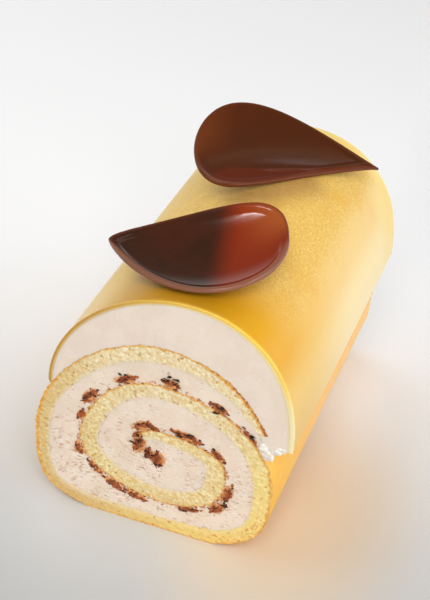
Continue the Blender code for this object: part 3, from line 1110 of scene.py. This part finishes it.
def make_foot_blobs():
    chance = random.Random(3)
    shape = bmesh.new()
    for plane, side in ((FRONT, -1), (BACK, 1)):
        for x, z, size in FOOT_BLOBS:
            made = bmesh.ops.create_icosphere(shape, subdivisions=3, radius=0.5)
            centre = Vector((x + chance.uniform(-0.3, 0.3), z + chance.uniform(-0.3, 0.3))) * MM
            salt = Vector((x, side, z))
            for vert in made["verts"]:
                push = 1 + 0.45 * noise.noise(vert.co * 2.6 + salt)
                local = vert.co * push * size * MM
                vert.co = (centre.x + local.x, plane + local.y * 0.4, centre.y + local.z * 0.85)
    bmesh.ops.recalc_face_normals(shape, faces=shape.faces)
    piece = new_piece("foot_blobs", shape, foot_material)
    return piece


# A paler copy of the mousse, a painted highlight on the blobs.
foot_material = make_cream_material("mousse with painted highlight", screen(255, 246, 232), screen(250, 236, 220), 0.0)
foot_blobs = make_foot_blobs()

# %% [markdown]
# ## Glaze
#
# Mango glaze is a set jelly poured over the frozen dome: clear and shiny where it is fresh, and
# frosted with fine grains of ice and damp on top. It is thin and a little translucent. On the
# right flank a pale band, and at the far left a pale strip, are painted reflections of the lights.
# In the middle of the front the clear glaze is painted darker, as the front petal's painted
# shadow, and a strip in front of the back petal's edge is darker, as that petal's painted shadow.
# Its front lip is rounded and catches a bright line of light from small lamps, and the lip is
# painted paler on its inner side, to the right, low on the right and at the back, as painted
# highlights; near the back cut the clear glaze is painted paler too, as a painted highlight. The
# glaze is a ribbon too, only a millimetre and a half thick, with its edges bevelled round, and
# on the left its foot turns in under the dome. Away from the lip its roughness stays above 0.28,
# because a denoised render shows a line where a roughness that changes slowly passes about 0.27.

# %% Glaze material
def make_glaze_material():
    material, tree, shader, place = new_material("mango glaze")
    across, along, height = parted(tree, place)
    frost = grain(tree, place, 2300.0, 900.0, 0.25)
    clouds = grain(tree, place, 110.0, 45.0, 0.6)
    from_front = ramp(tree, along, FRONT + 0.007, FRONT + 0.033)
    from_back = ramp(tree, along, BACK - 0.010, BACK - 0.001, 1.0, 0.0)
    inside = maths(tree, "MULTIPLY", from_front, from_back)
    on_top = maths(tree, "MULTIPLY", ramp(tree, height, 0.066, 0.088), inside)
    frosted = maths(tree, "MULTIPLY", on_top, ramp(tree, clouds, 0.30, 0.50, 0.55, 1.0))
    behind = ramp(tree, along, BACK - 0.022, BACK - 0.006)
    # A pale band on the right flank, a painted reflection of the lights.
    side = mixed(tree, ramp(tree, along, -0.050, 0.010), screen(239, 196, 98), screen(250, 225, 162))
    # Clear glaze: darker in the middle front as the front petal's painted shadow, lighter on the left flank
    # with a pale painted reflection at the far left, and paler at the back as a painted highlight.
    clear = coated(
        tree, screen(198, 148, 44),
        (ramp(tree, across, -0.012, 0.008), screen(186, 133, 24)),
        (ramp(tree, across, 0.010, 0.034), screen(230, 168, 14)),
        (ramp(tree, across, 0.039, 0.047), side),
        (ramp(tree, across, -0.008, -0.024), screen(222, 184, 92)),
        (ramp(tree, across, -0.027, -0.034), screen(255, 234, 190)),
        (behind, screen(248, 216, 128)))
    speck = ramp(tree, frost, 0.42, 0.62)
    warm = mixed(tree, speck, screen(224, 176, 76), screen(244, 208, 116))
    golden = mixed(tree, speck, screen(220, 178, 82), screen(240, 206, 120))
    # The frost takes the painted reflection on the right flank too.
    pale = coated(tree, golden, (ramp(tree, across, -0.012, 0.022), warm),
                  (ramp(tree, across, 0.034, 0.044), side))
    rim = read(tree, "lip")
    rightward = ramp(tree, across, -0.030, 0.035)
    shine = mixed(tree, rightward, screen(232, 200, 140), screen(255, 234, 184))
    low_right = maths(tree, "MULTIPLY", ramp(tree, height, 0.078, 0.060),
                      ramp(tree, across, 0.020, 0.035))
    # The lip: paler to the right, on its inner side, low on the right and at the back, as painted
    # highlights.
    lip = coated(
        tree, mixed(tree, rightward, screen(200, 150, 60), screen(255, 214, 96)),
        (ramp(tree, read(tree, "inner"), 0.40, 0.95), shine),
        (low_right, screen(255, 238, 186)),
        (behind, screen(252, 228, 160)))
    # Last comes the back petal's painted shadow.
    colour = coated(tree, clear, (frosted, pale), (rim, lip),
                    (read(tree, "petal_shadow"), screen(156, 106, 56)))
    finish_shader(tree, shader, colour, {
        "Subsurface Weight": 0.15, "Subsurface Radius": (0.0016, 0.0012, 0.0005),
        "Subsurface Scale": 1.0})
    dull = add(tree, "ShaderNodeMapRange", {
        "Value": frosted, "From Min": 0.0, "From Max": 1.0, "To Min": 0.29, "To Max": 0.50})
    rough = maths(tree, "MULTIPLY_ADD", rim, -0.16, dull.outputs["Result"])
    tree.links.new(rough, shader.inputs["Roughness"])
    bump(tree, shader, frost, 0.08, 0.0002)
    return material


glaze_material = make_glaze_material()


# %% Glaze skin
# The back petal's edge, for its painted shadow on the glaze: X and Y in millimetres.
BACK_PETAL_EDGE = ((4.0, 3.0), (10.0, 8.0), (15.0, 15.0), (21.0, 25.0))
SHADOW_REACH = 0.011
SHADOW_MOST = 0.65


def painted_shadow_at(x, y):
    """How much painted shadow of the back petal falls on the glaze in front of its edge."""
    most = 0.0
    for (x_a, y_a), (x_b, y_b) in zip(BACK_PETAL_EDGE, BACK_PETAL_EDGE[1:]):
        start = Vector((x_a, y_a)) * MM
        along = Vector((x_b, y_b)) * MM - start
        here = Vector((x, y)) - start
        share = min(max(here.dot(along) / along.length_squared, 0.0), 1.0)
        away = (here - along * share).length
        most = max(most, 1 - ease(away, 0.0, SHADOW_REACH))
    return SHADOW_MOST * most


# X and Z in millimetres, from the tip of the foot up.
TUCK_OUTER = ((-36.60, 50.72), (-36.90, 50.98), (-37.12, 51.40), (-37.27, 52.00), (-37.30, 52.70))
TUCK_INNER = ((-35.80, 51.98), (-35.78, 52.35), (-35.77, 52.75), (-35.76, 53.05))


TUCK_STEPS = 8
GLAZE_STEPS = 300


def with_tuck(line, tuck):
    """The glaze's line with a foot that turns in under the dome on the left."""
    low = [Vector(point) * MM for point in tuck]
    return spaced([*low, line[0]], TUCK_STEPS)[:-1] + line


GLAZE_ACROSS = 3
GLAZE_ROWS = 44
GLAZE_ROUNDING = 0.0006


def make_glaze():
    inner = with_tuck(spaced(arch(GAP), GLAZE_STEPS), TUCK_INNER)
    outer = with_tuck(spaced(arch(GAP + GLAZE_THICKNESS), GLAZE_STEPS), TUCK_OUTER)
    shape = ribbon(outer, inner, GLAZE_ACROSS)
    run_through(shape, GLAZE_ROWS)
    rims = []
    for edge in shape.edges:
        flat = all(face_way(vert.co.y) for vert in edge.verts)
        if flat and len(edge.link_faces) == 2 and edge.calc_face_angle() > math.radians(60):
            rims.append(edge)
    bmesh.ops.bevel(shape, geom=rims, offset=GLAZE_ROUNDING, offset_type="OFFSET", affect="EDGES",
                    segments=4, profile=0.5, material=-1, clamp_overlap=True)
    mousse_side = finder_of(in_cut(inner))
    lip = layer(shape, "lip")
    petal_shadow = layer(shape, "petal_shadow")
    inside = layer(shape, "inner")
    for vert in shape.verts:
        x, y, z = vert.co
        from_cut = min(y - FRONT, BACK - y)
        vert[lip] = 1 - ease(from_cut, 0.0002, 0.0010)
        vert[petal_shadow] = painted_shadow_at(x, y)
        vert[inside] = 1 - min(mousse_side.find((x, 0.0, z))[2] / GLAZE_THICKNESS, 1.0)
        place = Vector((x, y, z)) / MM
        swell = 0.00012 * noise.noise(place * 0.045)
        away = Vector((x - APEX_X, z - SPRING_Z)).normalized()
        vert.co.x += away.x * swell
        vert.co.z += away.y * swell
    piece = new_piece("mango_glaze", shape, glaze_material)
    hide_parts("glaze")
    return piece


mango_glaze = make_glaze()

# %% [markdown]
# ## Chocolate petals
#
# A chocolate petal is spread thin on a curved sheet and lifted off when it has set, so it is a
# bent teardrop with a glossy face and a rounded rim. A grid squeezed into a teardrop gives clean
# rows that follow the outline, with a low bead just inside it and, on the back petal, a soft fold
# along one side. Solidify gives the sheet its thickness, and one level of subdivision rounds the
# rim, which then catches the light as a thin bright line. The warm parts are painted reflections
# of the light that comes back from the glaze, and a lighter patch, the rim and a pale sheen along
# one edge are painted light too; all are numbers on the vertices again.

# %% Petal shapes
PETAL_THICKNESS = 0.0014
PETAL_CELLS = (86, 56)
RIM_STEPS = 600
BEAD_WIDTH = 0.0034
FOLD_HEIGHT = 0.0005
FRONT_PETAL = {
    "length": 0.0579, "half_width": 0.0210, "point": 0.73, "tail": 0.40, "bow": -0.0072,
    "radius_across": 0.0502, "radius_along": 0.0994, "twist": 0.4,
    "place": (0.0022, -0.0336, 0.0976), "turn": (5.2, -4.9, 21.7), "hem_side": -1, "lit_side": 1,
    "bead": 0.00036, "glow_reach": (0.54, 0.72), "glow_most": 1.0, "fold": 0.0, "hem_most": 0.6,
}
BACK_PETAL = {
    "length": 0.0692, "half_width": 0.0189, "point": 1.14, "tail": 0.47, "bow": -0.0109,
    "radius_across": 0.0604, "radius_along": 0.1525, "twist": 0.4,
    "place": (0.0121, 0.0263, 0.0966), "turn": (-20.9, -8.2, -145.6), "hem_side": 1, "lit_side": -1,
    "bead": 0.00022, "glow_reach": (0.40, 1.0), "glow_most": 0.10, "fold": 0.50, "hem_most": 0.06,
}
# Share of the petal's length, and where across it the fold runs.
FOLD_LINE = (
    (0.0, 0.74), (0.15, 0.78), (0.27, 0.78), (0.42, 0.72), (0.56, 0.64), (0.70, 0.54), (0.82, 0.46),
    (0.90, 0.60), (1.0, 1.2),
)


# %% Chocolate
def make_chocolate_material(name, dark, warm, lit, edge, roughness, mirror):
    material, tree, shader, place = new_material(name)
    clouds = grain(tree, place, 300.0, 60.0, 0.6)
    # Over the dark chocolate: a random warm tone, then painted light: the warm painted reflection of the
    # glaze, a lighter painted patch, a painted reflection along the rim and a pale painted sheen.
    colour = coated(
        tree, dark,
        (ramp(tree, clouds, 0.35, 0.65, 0.0, 0.10), warm),
        (read(tree, "glow"), warm),
        (read(tree, "lit"), lit),
        (ramp(tree, read(tree, "rim"), 0.2, 1.0, 0.0, 0.6), edge),
        (read(tree, "hem"), screen(150, 104, 82)))
    finish_shader(tree, shader, colour, {"Roughness": roughness, "Specular IOR Level": mirror})
    bump(tree, shader, grain(tree, place, 500.0, 90.0, 0.6), 0.03, 0.0002)
    return material


front_chocolate = make_chocolate_material(
    "dark chocolate", screen(54, 28, 12), screen(132, 42, 11), screen(160, 78, 34),
    screen(112, 54, 30), 0.09, 0.42)
# The back petal's copy is painted warmer and lighter, as painted warm light.
back_chocolate = make_chocolate_material(
    "dark chocolate in warm light", screen(72, 33, 8), screen(106, 34, 8), screen(102, 48, 15),
    screen(104, 50, 22), 0.16, 0.28)
print("chocolate material has", len(front_chocolate.node_tree.nodes), "nodes")


# %% Petals
def on_teardrop(vert):
    """Where a grid's vertex lies on the petal: its share of the length, and -1 to 1 across."""
    square_x = vert.co.x * 0.8 + 0.2 * math.sin(vert.co.x * math.pi / 2)
    square_y = vert.co.y * 0.8 + 0.2 * math.sin(vert.co.y * math.pi / 2)
    disc_x = square_x * math.sqrt(1 - square_y ** 2 / 2)
    disc_y = square_y * math.sqrt(1 - square_x ** 2 / 2)
    reach = math.sqrt(max(1 - disc_x ** 2, 0.0))
    edge = min(max(disc_y / reach, -1.0), 1.0) if reach > 0.0001 else 0.0
    return (1 + disc_x) / 2, edge


def make_petal(name, node, sizes, material):
    point = sizes["point"]
    tail = sizes["tail"]
    widest = point / (point + tail)
    full = widest ** point * (1 - widest) ** tail
    turns = [math.radians(angle) for angle in sizes["turn"]]
    turning = Matrix.Rotation(turns[2], 4, "Z") @ Matrix.Rotation(turns[1], 4, "Y")
    turning = Matrix.Translation(sizes["place"]) @ turning @ Matrix.Rotation(turns[0], 4, "X")

    def flat_place(share, edge):
        taper = share ** point * max(1 - share, 0.0) ** tail / full
        across = edge * sizes["half_width"] * taper
        return Vector((sizes["length"] * (share - 0.5), across, 0.0))

    shares = [(1 - math.cos(math.pi * step / RIM_STEPS)) / 2 for step in range(RIM_STEPS + 1)]
    outline = finder_of([flat_place(share, edge) for edge in (1.0, -1.0) for share in shares])
    shape = bmesh.new()
    bmesh.ops.create_grid(shape, x_segments=PETAL_CELLS[0], y_segments=PETAL_CELLS[1], size=1.0)
    glow = layer(shape, "glow")
    rim_layer = layer(shape, "rim")
    hem = layer(shape, "hem")
    lit = layer(shape, "lit")
    for vert in shape.verts:
        share, edge = on_teardrop(vert)
        flat = flat_place(share, edge)
        along, across = flat.x, flat.y
        lift = across ** 2 / (2 * sizes["radius_across"]) + along ** 2 / (2 * sizes["radius_along"])
        lift += sizes["twist"] * along * across
        from_edge = outline.find(flat)[2]
        bead = max(1 - ((from_edge - BEAD_WIDTH / 2) / (BEAD_WIDTH / 2)) ** 2, 0.0)
        lift += sizes["bead"] * bead ** 2
        fold_line = value_at(FOLD_LINE, share)
        fold = max(1 - ((edge - fold_line) / 0.10) ** 2, 0.0) ** 2
        lift += sizes["fold"] * FOLD_HEIGHT * fold * ease(share, 0.02, 0.10) * (1 - ease(share, 0.45, 0.75))
        bow = sizes["bow"] * 4 * share * (1 - share)
        # Painted light: glow and lit are painted reflections, rim the rim's painted reflection and hem a
        # pale painted sheen along one edge.
        vert[glow] = ease(share - 0.055 * edge, *sizes["glow_reach"]) * sizes["glow_most"]
        vert[glow] += sizes["fold"] * ease(edge, fold_line - 0.02, fold_line + 0.06)
        vert[lit] = ease(share, 0.68, 0.97) * ease(edge * sizes["lit_side"], -0.4, 0.7)
        vert[rim_layer] = 1 - ease(from_edge, 0.0004, 0.0018)
        facing = ease(abs(edge), 0.3, 0.8) if edge * sizes["hem_side"] > 0 else 0.0
        vert[hem] = sizes["hem_most"] * facing * (1 - ease(from_edge, 0.0010, 0.0024))
        vert.co = turning @ Vector((along, across + bow, lift))
    bmesh.ops.recalc_face_normals(shape, faces=shape.faces)
    piece = new_piece(name, shape, material)
    sheet = piece.modifiers.new("thickness", "SOLIDIFY")
    sheet.thickness = PETAL_THICKNESS
    sheet.offset = 0.0
    rounding = piece.modifiers.new("rounded rim", "SUBSURF")
    rounding.levels = 1
    rounding.render_levels = 1
    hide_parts(node)
    return piece


front_petal = make_petal("front_petal", "petal_front", FRONT_PETAL, front_chocolate)
back_petal = make_petal("back_petal", "petal_back", BACK_PETAL, back_chocolate)

# %% [markdown]
# ## Floor and light
#
# The cake stands on a plain white studio sweep, a large grid whose colour is painted from grey
# near us to white behind, as painted light, with a painted warm glow of light from the cake along
# its right side. It is only scenery. The main soft light stands high in front, a weaker one shines
# on the side at the right, and the widest, on the left, lifts the shadows and the floor. That one
# is kept out of reflections, where it would show as a large white square. The small lights are
# the other way round: each is there only to be mirrored, as the streaks on the back petal, the
# bright lines along the glaze's lip or the panes of a window on the front petal, and adds no light
# to the matt surfaces. The world is bright near the horizon and dark overhead, for the same reason.

# %% Floor
def make_floor_material():
    material, tree, shader, place = new_material("pale floor")
    across, along, _ = parted(tree, place)
    # Painted light: white behind, a touch greyer on the right.
    far = mixed(tree, ramp(tree, across, 0.005, 0.06), screen(255, 255, 255), screen(243, 243, 244))
    centred = add(tree, "ShaderNodeMapping", {
        "Vector": place, "Location": (-0.045, 0.045, 0.0)}, vector_type="POINT").outputs[0]
    stretched = add(tree, "ShaderNodeMapping", {
        "Vector": centred, "Scale": (19.0, 12.0, 1.0)}, vector_type="POINT").outputs[0]
    away = add(tree, "ShaderNodeVectorMath", {0: stretched}, operation="LENGTH").outputs["Value"]
    # Grey near us, the painted light behind, and a painted warm glow of light from the cake round it.
    colour = coated(
        tree, screen(173, 174, 173),
        (ramp(tree, along, -0.16, 0.09), far),
        (ramp(tree, away, 0.2, 1.0, 1.0, 0.0), screen(222, 204, 180)))
    finish_shader(tree, shader, colour, {"Roughness": 0.5})
    return material


FLOOR_REACH = 2.0
floor_shape = bmesh.new()
bmesh.ops.create_grid(floor_shape, x_segments=8, y_segments=8, size=FLOOR_REACH)
floor = new_object("floor", floor_shape, make_floor_material())
print("floor is", [round(side, 1) for side in floor.dimensions[:2]], "m")


# %% Lights
def soft_light(name, place, target, size, power, colour=(1.0, 1.0, 1.0)):
    """A soft rectangular light that looks at a target."""
    data = bpy.data.lights.new(name, "AREA")
    data.shape = "RECTANGLE"
    data.size = size[0]
    data.size_y = size[1]
    data.energy = power
    data.color = colour
    light = bpy.data.objects.new(name, data)
    light.location = place
    way = Vector(target) - Vector(place)
    light.rotation_euler = way.to_track_quat("-Z", "Y").to_euler()
    bpy.context.scene.collection.objects.link(light)
    return light


MIDDLE = (0.0, 0.0, 0.04)
ON_BACK_PETAL = (0.02, 0.03, 0.10)
ON_FRONT_PETAL = (0.02, -0.03, 0.10)
soft_light("front", (0.30, -0.75, 0.95), MIDDLE, (0.7, 0.7), 9.5)
soft_light("right", (0.95, -0.10, 0.50), MIDDLE, (0.5, 0.5), 2.9)
left_light = soft_light("left", (-1.00, 0.25, 0.80), (-0.15, 0.20, 0.0), (1.7, 1.7), 12.0)
left_light.visible_glossy = False
mirrored = [
    soft_light("streak", (0.168, 0.584, 0.919), ON_BACK_PETAL, (0.08, 0.50), 0.06, (1.0, 0.86, 0.6)),
    soft_light("rim line", (0.082, 0.571, 0.939), ON_BACK_PETAL, (0.03, 0.45), 0.12),
    soft_light("lip on the left", (-0.87, -0.21, 0.52), (-0.02, -0.06, 0.09), (0.25, 0.08), 0.40),
    soft_light("lip on the right", (0.95, -0.35, 0.32), (0.04, -0.06, 0.07), (0.30, 0.10), 0.60),
    soft_light("window left pane", (-0.201, 0.085, 0.883), ON_FRONT_PETAL, (0.024, 0.036), 0.13),
    soft_light("window right pane", (-0.242, 0.122, 0.863), ON_FRONT_PETAL, (0.024, 0.036), 0.13),
]
for light in mirrored:
    light.visible_diffuse = False
print("lights:", len(bpy.data.lights), "of which", len(mirrored), "show only in reflections")


# %% World
def make_world():
    """A studio with a bright sweep near the horizon, brightest on the right, and a dark ceiling."""
    world = bpy.data.worlds.new("studio")
    world.use_nodes = True
    tree = world.node_tree
    sideways, _, upward = parted(tree, add(tree, "ShaderNodeTexCoord").outputs["Generated"])
    both = maths(tree, "MULTIPLY", ramp(tree, upward, 0.10, 0.42, 1.04, 0.18),
                 ramp(tree, sideways, -0.7, 0.5, 0.7, 1.2))
    background = tree.nodes["Background"]
    tree.links.new(both, background.inputs["Strength"])
    background.inputs["Color"].default_value = (1.0, 1.0, 1.0, 1.0)
    bpy.context.scene.world = world


make_world()
bpy.context.scene.view_settings.view_transform = "Standard"
